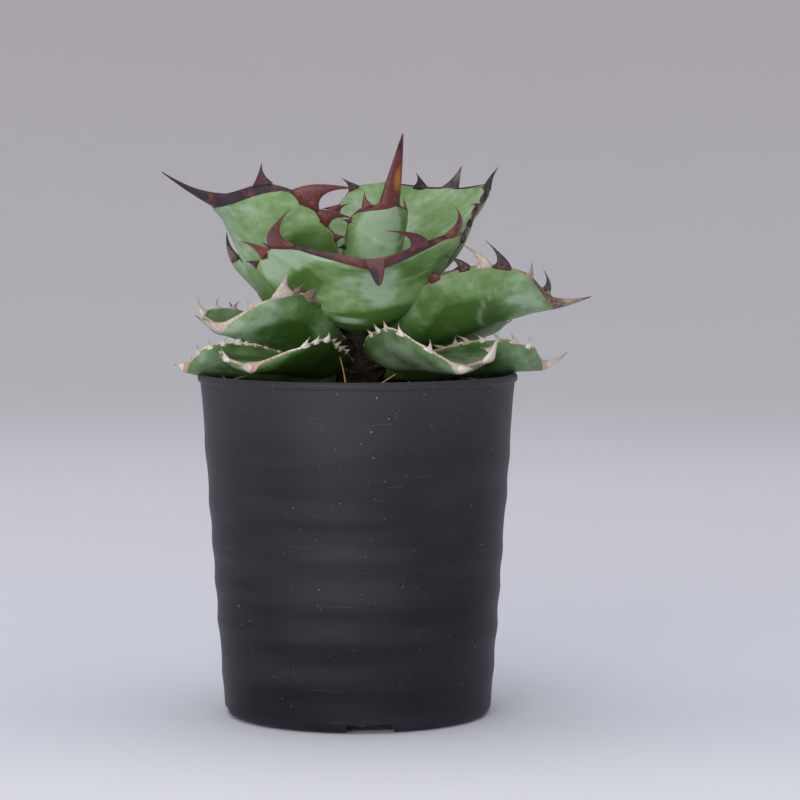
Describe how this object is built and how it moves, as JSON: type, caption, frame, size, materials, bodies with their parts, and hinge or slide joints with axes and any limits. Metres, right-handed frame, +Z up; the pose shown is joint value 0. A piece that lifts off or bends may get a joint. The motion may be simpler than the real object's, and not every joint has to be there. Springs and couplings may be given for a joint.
{
  "type": "potted agave",
  "caption": "Young agave rosette of broad cupped leaves with horny toothed edges and end spines, growing in a tapered black plastic nursery pot filled with soil.",
  "frame": {"origin": "on the pot's axis, on the surface that the pot stands on", "axes": "+Z up the pot's axis, +X to the right and -Y towards the front, from where the widest leaf is seen in the middle"},
  "size_m": [0.1378, 0.1196, 0.1903],
  "materials": {
    "leaf_skin": "satin, waxy blue-green bloom with horny brown to whitish edges",
    "stem_skin": "dull, pale green-brown",
    "potting_mix": "rough, loose dark mix with grit",
    "pot_plastic": "soft moulded plastic, lightly scuffed"
  },
  "bodies": {
    "root": {"pot": "pot_plastic", "soil": "potting_mix", "stem": "stem_skin", "bud": "leaf_skin", "leaf_inner_front": "leaf_skin", "leaf_inner_left": "leaf_skin", "leaf_upper_right": "leaf_skin", "leaf_upper_left": "leaf_skin", "leaf_front": "leaf_skin", "leaf_back": "leaf_skin", "leaf_left_back": "leaf_skin", "leaf_right": "leaf_skin", "leaf_right_back": "leaf_skin", "leaf_left_front": "leaf_skin", "leaf_back_left": "leaf_skin", "leaf_low_front_right": "leaf_skin", "leaf_back_right": "leaf_skin", "leaf_left_mid": "leaf_skin", "leaf_low_front_left": "leaf_skin", "leaf_low_back": "leaf_skin", "leaf_low_right": "leaf_skin", "leaf_low_back_left": "leaf_skin", "leaf_lowest_left": "leaf_skin"}
  },
  "joints": []
}
